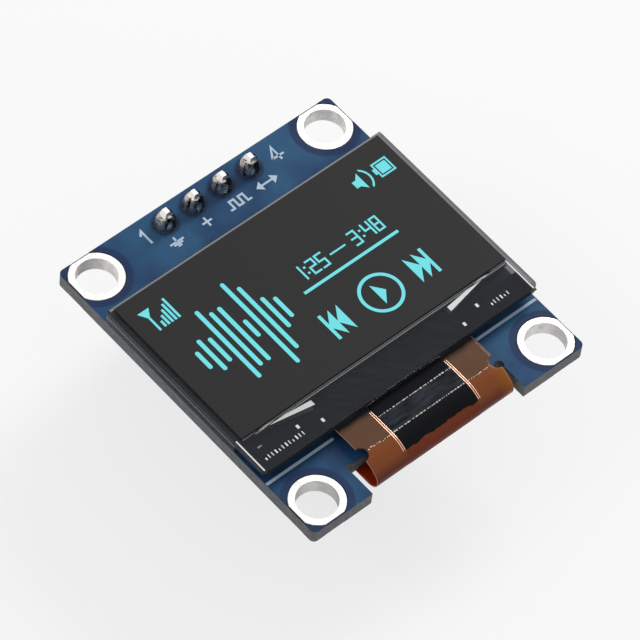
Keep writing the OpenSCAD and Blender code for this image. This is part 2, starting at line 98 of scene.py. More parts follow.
def newMaterial(name, look):
    # the look's shader inputs are set as they are; spot is the place on the part in millimetres
    material = bpy.data.materials.new(name)
    material.use_nodes = True
    tree = material.node_tree
    shader = tree.nodes["Principled BSDF"]
    fill(shader, {key: value for key, value in look.items() if key in shader.inputs})
    place = addNode(tree, "TexCoord", {}, "Object")
    spot = addNode(tree, "VectorMath", {"operation": "SCALE", 0: place, "Scale": 1 / mm})
    return material, tree, shader, spot


def dress(material, *names):
    for name in names:
        slots = nodes[name].data.materials
        slots.clear()
        slots.append(material)


def softEdge(width, *names):
    # breaks the sharp edges of a CAD node with a narrow bevel
    for name in names:
        bevel = nodes[name].modifiers.new("edge", "BEVEL")
        bevel.width = width * mm
        bevel.segments = 2
        bevel.limit_method = "ANGLE"
        bevel.angle_limit = math.radians(50)


def addPiece(name, vertices, faces, material, smooth=False):
    # vertices in millimetres
    mesh = bpy.data.meshes.new(name)
    mesh.from_pydata([Vector(v) * mm for v in vertices], [], faces)
    body = bmesh.new()
    body.from_mesh(mesh)
    bmesh.ops.recalc_face_normals(body, faces=body.faces)
    body.to_mesh(mesh)
    body.free()
    mesh.polygons.foreach_set("use_smooth", [smooth] * len(mesh.polygons))
    mesh.materials.append(material)
    piece = bpy.data.objects.new(name, mesh)
    bpy.context.collection.objects.link(piece)
    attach(piece, "root")
    return piece


def addPrisms(name, outlines, low, high, material):
    # each outline is a list of (x, y) points, raised from low to high
    vertices = []
    faces = []
    for outline in outlines:
        n = len(outline)
        start = len(vertices)
        vertices += [(x, y, low) for x, y in outline] + [(x, y, high) for x, y in outline]
        faces.append([start + i for i in reversed(range(n))])
        faces.append([start + n + i for i in range(n)])
        faces += [[start + i, start + (i + 1) % n, start + n + (i + 1) % n, start + n + i] for i in range(n)]
    return addPiece(name, vertices, faces, material)


def stroke(points, width):
    # outline of a line of that width along the points, with mitred corners
    points = [Vector(p) for p in points]
    sides = ([], [])
    for i, point in enumerate(points):
        before = (point - points[i - 1]).normalized() if i else None
        after = (points[i + 1] - point).normalized() if i + 1 < len(points) else None
        along = ((before or after) + (after or before)).normalized()
        across = Vector((-along.y, along.x))
        edge = before or after
        reach = width / 2 / max(0.4, across.dot(Vector((-edge.y, edge.x))))
        sides[0].append(point + across * reach)
        sides[1].append(point - across * reach)
    return [tuple(p) for p in sides[0] + sides[1][::-1]]


def block(x0, y0, x1, y1):
    return [(x0, y0), (x1, y0), (x1, y1), (x0, y1)]


# sizes that several pieces share, in millimetres
boardLow, boardHigh = inMm("laminate")
maskTop = inMm("solder_mask_front")[1].z
maskLow = inMm("solder_mask_back")[0].z
glassLow, glassHigh = inMm("front_glass")
screenLow, screenHigh = inMm("polariser")
filmLow, filmHigh = inMm("film")
pinsLow, pinsHigh = inMm("header_pins")
bores = [m["pos_m"] for m in frame["record"]["mounts"] if m["kind"] == "bore"]
sunk = 0.004    # how far a print or ridge reaches into the mask below it
pinPitch = 2.54
pinRowY = (pinsLow.y + pinsHigh.y) / 2
pinXs = [(i - 1.5) * pinPitch for i in range(4)]

laminateLook = {"Roughness": 0.62, "Specular IOR Level": 0.3, "pale": "#8b8c8c", "mid": "#65676a",
                "dark": "#474a4e", "face": "#142236", "layer": 0.12}
maskLook = {"Roughness": 0.3, "IOR": 1.5, "Specular IOR Level": 0.2, "mid": "#254e76", "deep": "#1e3f68",
            "light": "#2b5a80", "bare": "#182c56", "padHalo": 2.62, "pinHalo": 1.12, "haloEdge": 0.14}


def sawnLaminate():
    # FR4, glass cloth in epoxy, sawn: grey edge with thin pale and dark layers, dark faces under the mask
    material, tree, shader, spot = newMaterial("FR4 laminate, sawn edge", laminateLook)
    flat = addNode(tree, "Mapping", {"Vector": spot, "Scale": (0.25, 0.25, 1.6)})
    layers = addNode(tree, "TexNoise", {"Vector": flat, "Scale": 1 / laminateLook["layer"], "Detail": 3})
    fluff = addNode(tree, "TexNoise", {"Vector": spot, "Scale": 1 / 0.35, "Detail": 4})
    shade = addNode(tree, "MapRange", {"Value": layers, "From Min": 0.35, "From Max": 0.65})
    edge = addNode(tree, "Mix", {"data_type": "RGBA", "Factor": shade, 6: laminateLook["dark"],
                                 7: laminateLook["pale"]}, 2)
    edge = addNode(tree, "Mix", {"data_type": "RGBA", "Factor": fluff, 6: edge, 7: laminateLook["mid"]}, 2)
    x, y, z = addNode(tree, "SeparateXYZ", {0: spot}, None)
    middle = (boardLow.z + boardHigh.z) / 2
    away = addNode(tree, "Math", {"operation": "SUBTRACT", 0: z, 1: middle})
    away = addNode(tree, "Math", {"operation": "ABSOLUTE", 0: away})
    face = addNode(tree, "MapRange", {"Value": away, "From Min": boardHigh.z - middle - 0.03,
                                      "From Max": boardHigh.z - middle - 0.005})
    colour = addNode(tree, "Mix", {"data_type": "RGBA", "Factor": face, 6: edge, 7: laminateLook["face"]}, 2)
    relief = addNode(tree, "Bump", {"Height": layers, "Distance": 0.02 * mm})
    fill(shader, {"Base Color": colour, "Normal": relief})
    return material


def blueMask():
    # liquid photo-imaged solder mask, cured: deep blue and slightly wavy, darker where no copper lies below
    material, tree, shader, spot = newMaterial("blue solder mask, cured resin", maskLook)
    clouds = addNode(tree, "TexNoise", {"Vector": spot, "Scale": 1 / 4.0, "Detail": 2})
    fine = addNode(tree, "TexNoise", {"Vector": spot, "Scale": 1 / 0.5, "Detail": 3})
    cloudy = addNode(tree, "MapRange", {"Value": clouds, "From Min": 0.38, "From Max": 0.62})
    colour = addNode(tree, "Mix", {"data_type": "RGBA", "Factor": cloudy, 6: maskLook["deep"],
                                   7: maskLook["light"]}, 2)
    speckle = addNode(tree, "MapRange", {"Value": fine, "From Min": 0.4, "From Max": 0.7, "To Max": 0.5})
    colour = addNode(tree, "Mix", {"data_type": "RGBA", "Factor": speckle, 6: colour, 7: maskLook["mid"]}, 2)
    spots = [(Vector((b[0] / mm, b[1] / mm, 0)), maskLook["padHalo"]) for b in bores]
    spots += [(Vector((x, pinRowY, 0)), maskLook["pinHalo"]) for x in pinXs]
    flat = addNode(tree, "VectorMath", {"operation": "MULTIPLY", 0: spot, 1: (1, 1, 0)})
    for centre, radius in spots:
        away = addNode(tree, "VectorMath", {"operation": "DISTANCE", 0: flat, 1: centre}, "Value")
        halo = addNode(tree, "MapRange", {"Value": away, "From Min": radius,
                                          "From Max": radius - maskLook["haloEdge"], "To Max": 0.8})
        colour = addNode(tree, "Mix", {"data_type": "RGBA", "Factor": halo, 6: colour,
                                       7: maskLook["bare"]}, 2)
    gloss = addNode(tree, "MapRange", {"Value": clouds, "From Min": 0.3, "From Max": 0.7, "To Min": 0.24,
                                       "To Max": 0.38})
    relief = addNode(tree, "Bump", {"Height": fine, "Distance": 0.003 * mm})
    fill(shader, {"Base Color": colour, "Roughness": gloss, "Normal": relief})
    return material


tinLook = {"Metallic": 1.0, "bright": "#eceae7", "dull": "#cfcbc7", "patch": 0.7}
pinLook = {"Metallic": 1.0, "Roughness": 0.28, "bright": "#fbf8f4", "drawn": "#d2cdc6", "line": 0.08}
solderLook = {"Metallic": 1.0, "bright": "#c9c1b8", "flux": "#1f1a17", "streak": 0.3}
nylonLook = {"Base Color": "#1b1b1d", "IOR": 1.53, "Specular IOR Level": 0.35, "grain": 0.06}


def levelledTin():
    # hot-air levelled solder on copper: bright, with soft dull patches and a slightly domed, uneven surface
    material, tree, shader, spot = newMaterial("HASL tin, hot-air levelled", tinLook)
    patches = addNode(tree, "TexNoise", {"Vector": spot, "Scale": 1 / tinLook["patch"], "Detail": 4})
    dull = addNode(tree, "MapRange", {"Value": patches, "From Min": 0.45, "From Max": 0.75})
    colour = addNode(tree, "Mix", {"data_type": "RGBA", "Factor": dull, 6: tinLook["bright"],
                                   7: tinLook["dull"]}, 2)
    gloss = addNode(tree, "MapRange", {"Value": patches, "From Min": 0.3, "From Max": 0.7, "To Min": 0.3,
                                       "To Max": 0.5})
    waves = addNode(tree, "TexNoise", {"Vector": spot, "Scale": 1 / 0.35, "Detail": 3})
    relief = addNode(tree, "Bump", {"Height": waves, "Distance": 0.035 * mm})
    fill(shader, {"Base Color": colour, "Roughness": gloss, "Normal": relief})
    return material


def platedPin():
    # drawn brass wire, tin plated: near white, with faint lines along its length
    material, tree, shader, spot = newMaterial("tin-plated brass pin, drawn", pinLook)
    along = addNode(tree, "Mapping", {"Vector": spot, "Scale": (1, 1, 0.05)})
    lines = addNode(tree, "TexNoise", {"Vector": along, "Scale": 1 / pinLook["line"], "Detail": 2})
    x, y, z = addNode(tree, "SeparateXYZ", {0: spot}, None)
    below = addNode(tree, "MapRange", {"Value": z, "From Min": 0.2, "From Max": -0.2, "To Max": 0.7})
    amount = addNode(tree, "Math", {"operation": "MULTIPLY", 0: lines, 1: below})
    colour = addNode(tree, "Mix", {"data_type": "RGBA", "Factor": amount, 6: pinLook["bright"],
                                   7: pinLook["drawn"]}, 2)
    fill(shader, {"Base Color": colour})
    return material


def fluxedSolder():
    # hand-soldered joint: mirror-like metal under a thin brown film of flux, which darkens it in streaks
    material, tree, shader, spot = newMaterial("solder joint with flux residue", solderLook)
    along = addNode(tree, "Mapping", {"Vector": spot, "Scale": (1, 1, 0.4)})
    streaks = addNode(tree, "TexNoise", {"Vector": along, "Scale": 1 / solderLook["streak"], "Detail": 3})
    x, y, z = addNode(tree, "SeparateXYZ", {0: spot}, None)
    # painted highlight: each joint is painted brighter on its left flank, where the light catches it
    turn = 2 * math.pi / pinPitch
    phase = addNode(tree, "Math", {"operation": "MULTIPLY", 0: x, 1: turn})
    leftFlankHighlight = addNode(tree, "Math", {"operation": "SINE", 0: phase})
    leftFlankHighlight = addNode(tree, "Math", {"operation": "MULTIPLY", 0: leftFlankHighlight, 1: 0.16})
    amount = addNode(tree, "Math", {"operation": "ADD", 0: streaks, 1: leftFlankHighlight})
    bright = addNode(tree, "MapRange", {"Value": amount, "From Min": 0.44, "From Max": 0.62})
    colour = addNode(tree, "Mix", {"data_type": "RGBA", "Factor": bright, 6: solderLook["flux"],
                                   7: solderLook["bright"]}, 2)
    gloss = addNode(tree, "MapRange", {"Value": streaks, "From Min": 0.3, "From Max": 0.7, "To Min": 0.16,
                                       "To Max": 0.34})
    waves = addNode(tree, "TexNoise", {"Vector": spot, "Scale": 1 / 0.3, "Detail": 1})
    relief = addNode(tree, "Bump", {"Height": waves, "Distance": 0.06 * mm})
    fill(shader, {"Base Color": colour, "Roughness": gloss, "Normal": relief})
    return material


def mouldedNylon():
    # moulded nylon: satin black with a very fine grain, drawn coarse enough to show
    material, tree, shader, spot = newMaterial("black nylon, moulded", nylonLook)
    fine = addNode(tree, "TexNoise", {"Vector": spot, "Scale": 1 / nylonLook["grain"], "Detail": 2})
    gloss = addNode(tree, "MapRange", {"Value": fine, "From Min": 0.3, "From Max": 0.7, "To Min": 0.42,
                                       "To Max": 0.6})
    relief = addNode(tree, "Bump", {"Height": fine, "Distance": 0.003 * mm})
    fill(shader, {"Roughness": gloss, "Normal": relief})
    return material


def unevenMaterial(name, look, size, low, high):
    # a plain material whose gloss varies in patches of that size
    material, tree, shader, spot = newMaterial(name, look)
    patches = addNode(tree, "TexNoise", {"Vector": spot, "Scale": 1 / size, "Detail": 2})
    gloss = addNode(tree, "MapRange", {"Value": patches, "From Min": 0.3, "From Max": 0.7, "To Min": low,
                                       "To Max": high})
    fill(shader, {"Roughness": gloss})
    return material


mask = blueMask()
tin = levelledTin()
dress(sawnLaminate(), "laminate")
dress(mask, "solder_mask_front", "solder_mask_back")
dress(tin, "hole_plating_1", "hole_plating_2", "hole_plating_3", "hole_plating_4", "pin_hole_plating")
dress(platedPin(), "header_pins")
dress(fluxedSolder(), "pin_solder")
dress(mouldedNylon(), "header_strip")
softEdge(0.04, "header_strip")
softEdge(0.025, "header_pins")
softEdge(0.03, "hole_plating_1", "hole_plating_2", "hole_plating_3", "hole_plating_4")
print("board and header dressed")

# silkscreen: generic signs beside the pins, the first and last pin's numbers, and two lines below the glass
printLook = {"Base Color": "#c4d8ea", "Specular IOR Level": 0.2, "thickness": 0.012, "line": 0.16}
screenPrint = unevenMaterial("white epoxy ink, screen printed", printLook, 0.15, 0.5, 0.8)
signRow = {"middle": 10.37, "half": 0.42, "centres": (-4.15, -1.42, 1.37, 4.01)}


def pinSigns():
    y = signRow["middle"]
    h = signRow["half"]
    w = printLook["line"]
    ground, plus, clock, data = signRow["centres"]
    shapes = [block(ground - w / 2, y, ground + w / 2, y + h)]
    shapes += [block(ground - r, y - d - w / 2, ground + r, y - d + w / 2)
               for r, d in ((0.6, 0.02), (0.38, 0.2), (0.16, 0.38))]
    shapes += [block(plus - h, y - w / 2, plus - w / 2, y + w / 2),
               block(plus + w / 2, y - w / 2, plus + h, y + w / 2),
               block(plus - w / 2, y - h, plus + w / 2, y + h)]
    low = y - h + w / 2
    high = y + h - w / 2
    wave = [(-0.9, low), (-0.55, low), (-0.55, high), (-0.15, high), (-0.15, low), (0.25, low), (0.25, high),
            (0.65, high), (0.65, low), (1.0, low)]
    shapes.append(stroke([(clock + x, level) for x, level in wave], w))
    for s in (-1, 1):
        neck = data + s * 0.45
        shapes += [[(data + s * 0.95, y), (neck, y + h), (neck, y - h)],
                   block(min(data, neck), y - w / 2, max(data, neck), y + w / 2)]
    return shapes


one = [(-5.86, 12.2), (-5.56, 12.55), (-5.56, 11.3)]
four = [(6.18, 11.25), (6.18, 12.5), (5.62, 11.62), (6.62, 11.62)]
silkTop = maskTop + printLook["thickness"]
frontMarks = pinSigns() + [stroke(one, 0.18), stroke(four[:3], 0.17),
                           block(5.66, 11.54, 6.62, 11.7),
                           block(-12.22, -8.59, -6.3, -8.37), block(6.64, -8.59, 12.16, -8.37)]
addPrisms("frontSilkscreen", frontMarks, maskTop - sunk, silkTop, screenPrint)

# copper under the mask shows as low ridges that run from the pins towards the glass
ridge = {"height": 0.012, "width": 0.3}
frontTracks = []
for x, shift in zip(pinXs, (-1.5, -0.9, 0.9, 1.5)):
    points = [(x, pinRowY - 1.0), (x, 9.3), (x + shift, 8.7), (x + shift, 8.0)]
    frontTracks.append(stroke(points, ridge["width"]))
addPrisms("frontTracks", frontTracks, maskTop - sunk, maskTop + ridge["height"] - 0.006, mask)
print("silkscreen and tracks added")

glassLook = {"IOR": 1.52, "Specular IOR Level": 0.25, "Alpha": 0.6, "body": "#26292f", "edge": "#34383e"}
polariserLook = {"Base Color": "#313131", "IOR": 1.49, "Specular IOR Level": 0.1}
litLook = {"Base Color": "#0c1516", "Roughness": 0.5, "Specular IOR Level": 0.1, "glow": "#74e4ea",
           "dot": 0.17}
sealLook = {"Base Color": "#a9b2b6"}
pixelLook = {"Base Color": "#26282c", "IOR": 1.8}
dryerLook = {"Base Color": "#d8d7d2"}
foamLook = {"Base Color": "#141414", "Specular IOR Level": 0.1}
fanLook = {"Base Color": "#a9aca9", "Metallic": 1.0}


def cutGlass():
    # soda-lime glass, scribed and snapped: dark over the black print, greyer towards its cut edges
    material, tree, shader, spot = newMaterial("soda-lime glass, cut", glassLook)
    x, y, z = addNode(tree, "SeparateXYZ", {0: spot}, None)
    side = addNode(tree, "Math", {"operation": "ABSOLUTE", 0: x})
    rim = addNode(tree, "MapRange", {"Value": side, "From Min": glassHigh.x - 0.05,
                                     "From Max": glassHigh.x - 0.01})
    colour = addNode(tree, "Mix", {"data_type": "RGBA", "Factor": rim, 6: glassLook["body"],
                                   7: glassLook["edge"]}, 2)
    haze = addNode(tree, "TexNoise", {"Vector": spot, "Scale": 1 / 3.0, "Detail": 2})
    gloss = addNode(tree, "MapRange", {"Value": haze, "To Min": 0.03, "To Max": 0.1})
    fill(shader, {"Base Color": colour, "Roughness": gloss})
    return material


def litPixels():
    # organic pixels seen lit: pale cyan, with the thin dark gaps between the dots only just showing
    material, tree, shader, spot = newMaterial("lit organic pixels", litLook)
    turns = 2 * math.pi / litLook["dot"]
    phase = addNode(tree, "VectorMath", {"operation": "SCALE", 0: spot, "Scale": turns})
    waves = addNode(tree, "VectorMath", {"operation": "COSINE", 0: phase})
    across, along, up = addNode(tree, "SeparateXYZ", {0: waves}, None)
    gap = addNode(tree, "Math", {"operation": "MAXIMUM", 0: across, 1: along})
    dim = addNode(tree, "MapRange", {"Value": gap, "From Min": 0.4, "From Max": 1.0, "To Min": 1.0,
                                     "To Max": 0.9})
    fill(shader, {"Emission Color": litLook["glow"], "Emission Strength": dim})
    return material


glass = cutGlass()
lit = litPixels()
screen = unevenMaterial("polarising film, anti-glare coat", polariserLook, 0.05, 0.4, 0.5)
dress(glass, "front_glass", "rear_glass")
dress(screen, "polariser")
dress(lit, "lit_waveform", "lit_progress_line", "lit_player_keys", "lit_status_icons")
dress(unevenMaterial("cured epoxy seal", sealLook, 0.4, 0.2, 0.4), "glass_seal")
dress(unevenMaterial("thin-film pixel stack", pixelLook, 0.17, 0.2, 0.3), "pixel_layer")
dress(unevenMaterial("calcium oxide drying patch", dryerLook, 0.3, 0.8, 0.95), "drying_patch")
dress(unevenMaterial("acrylic foam tape", foamLook, 0.1, 0.9, 1.0), "foam_tape")
fan = unevenMaterial("sputtered metal tracks", fanLook, 0.1, 0.35, 0.5)
dress(fan, "glass_traces")

# black print on the back of the ledge, seen through the glass
bondLow, bondHigh = inMm("bonding_strip")
ledgeLook = {"Base Color": "#22232a", "Specular IOR Level": 0.1, "gap": 0.06}
ledgePrint = unevenMaterial("black print on glass", ledgeLook, 0.5, 0.5, 0.6)
fanLow = inMm("glass_traces")[0].y
printZ = glassLow.z - 0.012
backPrint = []
for s in (-1, 1):
    inner = s * (filmHigh.x + ledgeLook["gap"])
    outer = s * (glassHigh.x - ledgeLook["gap"])
    printLow = glassLow.y + ledgeLook["gap"]
    backPrint.append(block(min(inner, outer), printLow, max(inner, outer), fanLow - 0.02))
addPrisms("ledgePrint", backPrint, printZ, printZ + 0.01, ledgePrint)

# metal fan and marks that show bright through the ledge, and a painted highlight along each side edge of the
# ledge
markAndHighlightLook = {"Base Color": "#f4f4f2", "Specular IOR Level": 0.2}
dimLook = {"Base Color": "#8d8f90", "Specular IOR Level": 0.2}
brightMarkAndHighlight = unevenMaterial("white mark and painted highlight on glass", markAndHighlightLook, 0.2, 0.4, 0.6)
dimMark = unevenMaterial("grey mark on glass", dimLook, 0.1, 0.4, 0.7)
markZ = glassHigh.z - 0.003
markTop = glassHigh.z + 0.003
tickRow = {"spans": ((-11.6, -7.9), (8.7, 10.4)), "step": 0.3, "low": -7.66, "high": -7.34, "short": -7.46,
           "thin": 0.07, "thick": 0.112}
ticks = []
for start, end in tickRow["spans"]:
    for i in range(round((end - start) / tickRow["step"])):
        x = start + i * tickRow["step"]
        wide = tickRow["thin"] if i % 3 else tickRow["thick"]
        ticks.append(block(x, tickRow["low"], x + wide, tickRow["high"] if i % 4 else tickRow["short"]))
dots = [(-6.55, -7.55), (-8.23, -6.91), (6.16, -7.64), (7.86, -7.01)]
marksAndHighlights = [block(x - 0.1, y - 0.15, x + 0.1, y + 0.15) for x, y in dots] + ticks
# painted highlights: a thin bright line along the left and the right edge of the ledge
marksAndHighlights += [block(-12.3, -8.2, -12.19, -5.25), block(11.84, -8.35, 11.95, -5.45)]
addPrisms("ledgeMarksAndEdgeHighlights", marksAndHighlights, markZ, markTop, brightMarkAndHighlight)
fans = []
for s, far, near in ((-1, 12.0, 6.15), (1, 11.6, 6.15)):
    fans.append([(s * far, -5.27), (s * near, -5.85), (s * near, -6.28), (s * (near + far) / 2, -5.75)])
addPrisms("fanGlint", fans, markZ, markTop, fan)
lines = [block(-glassHigh.x + 0.5, screenLow.y - 0.1, glassHigh.x - 0.5, screenLow.y - 0.02),
         block(-glassHigh.x + 1.5, screenLow.y - 0.24, glassHigh.x - 0.6, screenLow.y - 0.17),
         block(-11.45, -6.6, -11.1, -6.48)]
addPrisms("polariserEdge", lines, markZ, markTop, dimMark)

# bands of light in the glass's cut edges
bandLook = {"Base Color": "#8f9093", "Specular IOR Level": 0.2}
band = unevenMaterial("light caught in a cut edge", bandLook, 0.4, 0.2, 0.5)
bands = [block(screenHigh.x + 0.02, screenLow.y, screenHigh.x + 0.22, screenHigh.y),
         block(-glassHigh.x + 0.2, screenHigh.y + 0.03, glassHigh.x - 0.05, glassHigh.y - 0.02),
         block(screenHigh.x + 0.1, glassLow.y + 0.5, screenHigh.x + 0.24, screenLow.y)]
addPrisms("edgeBands", bands, markZ, markTop, band)

# a time readout above the progress line, in the same lit dots
digits = {"low": 1.62, "high": 2.92, "width": 0.66, "line": 0.15,
          "places": ((-0.45, 1), (0.75, 2), (1.55, 5), (4.55, 3), (5.75, 4), (6.55, 8))}
segments = {1: "bc", 2: "abged", 3: "abgcd", 4: "fgbc", 5: "afgcd", 8: "abcdefg"}


def digitShapes(x, value):
    w, line = digits["width"], digits["line"]
    low, high = digits["low"], digits["high"]
    middle = (low + high) / 2
    bars = {"a": block(x, high - line, x + w, high), "d": block(x, low, x + w, low + line),
            "g": block(x, middle - line / 2, x + w, middle + line / 2),
            "f": block(x, middle, x + line, high), "e": block(x, low, x + line, middle),
            "b": block(x + w - line, middle, x + w, high), "c": block(x + w - line, low, x + w, middle)}
    return [bars[key] for key in segments[value]]


readout = []
for x, value in digits["places"]:
    readout += digitShapes(x, value)
for x in (0.42, 5.42):
    readout += [block(x, 1.92, x + 0.17, 2.09), block(x, 2.45, x + 0.17, 2.62)]
readout.append(block(2.6, 2.19, 4.0, 2.33))
addPrisms("litReadout", readout, screenHigh.z - 0.02, screenHigh.z + 0.002, lit)
print("glass panel dressed")

foldShape = {"bendR": 2.2, "bendAngle": 50, "coatAngle": 38, "chipMargin": 0.22, "notchR": 0.55, "flank": 1.4,
             "thickness": 0.08, "step": 0.07, "tailPastSolder": 0.4, "ripple": 0.018}
chipHigh = inMm("driver_chip")[1]
bendR = foldShape["bendR"]
turn = math.radians(foldShape["bendAngle"])
foldR = (filmHigh.z - filmLow.z - bendR * (1 - math.cos(turn))) / (1 + math.cos(turn))
bendY = filmLow.y + (bendR - foldR) * math.sin(turn) + foldR
bendZ = filmHigh.z - bendR
foldY = bendY - (bendR - foldR) * math.sin(turn)
foldZ = bendZ + (bendR - foldR) * math.cos(turn)
riseEnd = chipHigh.y + foldShape["chipMargin"]
tailEnd = inMm("tail_solder")[1].y + foldShape["tailPastSolder"]

# distances along the film from its bonded end to where its shape changes
edgeAt = bondHigh.y - glassLow.y
riseAt = bondHigh.y - riseEnd
bendAt = bondHigh.y - bendY
foldAt = bendAt + bendR * turn
underAt = foldAt + foldR * (math.pi - turn)
endAt = underAt + tailEnd - foldY


def alongFilm(d):
    # y and z of the film's outer face, and the angle turned from facing up, d from its bonded end
    if d <= edgeAt:
        return bondHigh.y - d, bondLow.z, 0.0
    if d <= riseAt:
        return bondHigh.y - d, bondLow.z + (filmHigh.z - bondLow.z) * (d - edgeAt) / (riseAt - edgeAt), 0.0
    if d <= bendAt:
        return bondHigh.y - d, filmHigh.z, 0.0
    for cy, cz, radius, start, a in ((bendY, bendZ, bendR, bendAt, 0.0), (foldY, foldZ, foldR, foldAt, turn)):
        a += (d - start) / radius
        if a <= turn + 1e-9 or (radius == foldR and a <= math.pi):
            return cy - radius * math.sin(a), cz + radius * math.cos(a), a
    return foldY + d - underAt, filmLow.z, math.pi


def ripple(x, d):
    # waves left in the film by its creases
    near = max(0.0, 1 - min(abs(d - riseAt), abs(d - bendAt), abs(d - edgeAt)) / 0.45)
    return foldShape["ripple"] * near * noise.noise(Vector((x * 2.3, d * 2.5, 3.1)))


def onFilm(x, d, lift):
    y, z, a = alongFilm(d)
    if edgeAt < d < foldAt:
        lift += ripple(x, d)
    return (x, y - lift * math.sin(a), z + lift * math.cos(a))


def filmStrip(name, start, end, step, columns, lifts, material, fitted=None, ragged=0.0):
    # a closed strip that follows the film; fitted(x, d) moves a place inwards, ragged wears its far end away
    rows = max(2, round((end - start) / step))
    across = len(columns)
    vertices = []
    for lift in lifts:
        for i in range(rows + 1):
            for x in columns:
                worn = 0
                if ragged:
                    worn = ragged * (0.5 + 0.5 * noise.fractal(Vector((x * 1.4, 9.7, 0)), 0.8, 2.0, 4))
                d = start + (end - worn - start) * i / rows
                vertices.append(onFilm(fitted(x, d) if fitted else x, d, lift))
    layer = (rows + 1) * across
    faces = []
    for i in range(rows):
        for j in range(across - 1):
            a = i * across + j
            b = a + across
            faces.append([a, a + 1, b + 1, b])
            faces.append([layer + a, layer + b, layer + b + 1, layer + a + 1])
        for j in (0, across - 1):
            a = i * across + j
            faces.append([a, a + across, layer + a + across, layer + a])
    for i in (0, rows):
        for j in range(across - 1):
            a = i * across + j
            faces.append([a, a + 1, layer + a + 1, layer + a])
    return addPiece(name, vertices, faces, material, smooth=True)


def even(low, high, count):
    return [low + (high - low) * i / count for i in range(count + 1)]


filmLook = {"IOR": 1.7, "Specular IOR Level": 0.12, "wing": "#64432e", "amber": "#84461c", "red": "#66240c",
            "end": "#985818", "glow": "#b83410", "bead": "#15100f", "edge": "#b98d78"}
coatLook = {"IOR": 1.5, "Specular IOR Level": 0.05, "Roughness": 0.4, "black": "#111215", "smear": "#363b42",
            "lean": 46}
copperLook = {"Base Color": "#f0c3aa", "Metallic": 1.0}
traceLook = {"Base Color": "#7c2e10", "IOR": 1.6, "Specular IOR Level": 0.12}
creaseGlintLook = {"Base Color": "#dedcd8", "Specular IOR Level": 0.3}


def amberFilm():
    # polyimide film over copper, cast: glossy brown, with a painted grey reflection on the flat before the
    # bend, amber past it, lighter orange towards its right end and red-brown round the fold
    material, tree, shader, spot = newMaterial("polyimide film, cast", filmLook)
    x, y, z = addNode(tree, "SeparateXYZ", {0: spot}, None)
    side = addNode(tree, "Math", {"operation": "ABSOLUTE", 0: x})
    clouds = addNode(tree, "TexNoise", {"Vector": spot, "Scale": 1 / 1.2, "Detail": 3})
    # painted reflection: before the bend the film is painted greyish brown, as a grey reflection makes it
    # look
    pastGreyReflection = addNode(tree, "MapRange", {"Value": y, "From Min": bendY + 0.1, "From Max": bendY - 0.15})
    colour = addNode(tree, "Mix", {"data_type": "RGBA", "Factor": pastGreyReflection, 6: filmLook["wing"],
                                   7: filmLook["amber"]}, 2)
    turned = addNode(tree, "MapRange", {"Value": z, "From Min": filmHigh.z - 0.45,
                                        "From Max": filmHigh.z - 1.0})
    colour = addNode(tree, "Mix", {"data_type": "RGBA", "Factor": turned, 6: colour, 7: filmLook["red"]}, 2)
    right = addNode(tree, "MapRange", {"Value": x, "From Min": filmHigh.x - 1.1, "From Max": filmHigh.x})
    right = addNode(tree, "Math", {"operation": "MULTIPLY", 0: right, 1: pastGreyReflection})
    colour = addNode(tree, "Mix", {"data_type": "RGBA", "Factor": right, 6: colour, 7: filmLook["end"]}, 2)
    # painted light: low on the left of the fold the film is painted glowing orange-red, as light shining
    # through it
    low = addNode(tree, "MapRange", {"Value": z, "From Min": 0.6, "From Max": 0.1})
    left = addNode(tree, "MapRange", {"Value": x, "From Min": -4.6, "From Max": -5.6})
    lit = addNode(tree, "Math", {"operation": "MULTIPLY", 0: low, 1: left})
    colour = addNode(tree, "Mix", {"data_type": "RGBA", "Factor": lit, 6: colour, 7: filmLook["glow"]}, 2)
    # painted shadow: a ragged band of the upper layer just past the glass's edge is painted near black, where
    # the ledge shades it
    glassLedgeShadow = addNode(tree, "Math", {"operation": "MULTIPLY", 0: clouds, 1: 0.6})
    glassLedgeShadow = addNode(tree, "Math", {"operation": "ADD", 0: glassLedgeShadow, 1: y})
    glassLedgeShadow = addNode(tree, "MapRange", {"Value": glassLedgeShadow, "From Min": glassLow.y - 0.35,
                                       "From Max": glassLow.y + 0.15})
    above = addNode(tree, "Math", {"operation": "GREATER_THAN", 0: z, 1: maskTop})
    glassLedgeShadow = addNode(tree, "Math", {"operation": "MULTIPLY", 0: glassLedgeShadow, 1: above})
    colour = addNode(tree, "Mix", {"data_type": "RGBA", "Factor": glassLedgeShadow, 6: colour, 7: filmLook["bead"]}, 2)
    # painted highlight: the film's cut sides are painted pale peach
    cut = addNode(tree, "MapRange", {"Value": side, "From Min": filmHigh.x - 0.04,
                                     "From Max": filmHigh.x - 0.01})
    colour = addNode(tree, "Mix", {"data_type": "RGBA", "Factor": cut, 6: colour, 7: filmLook["edge"]}, 2)
    gloss = addNode(tree, "MapRange", {"Value": clouds, "From Min": 0.3, "From Max": 0.7, "To Min": 0.2,
                                       "To Max": 0.34})
    fill(shader, {"Base Color": colour, "Roughness": gloss})
    return material


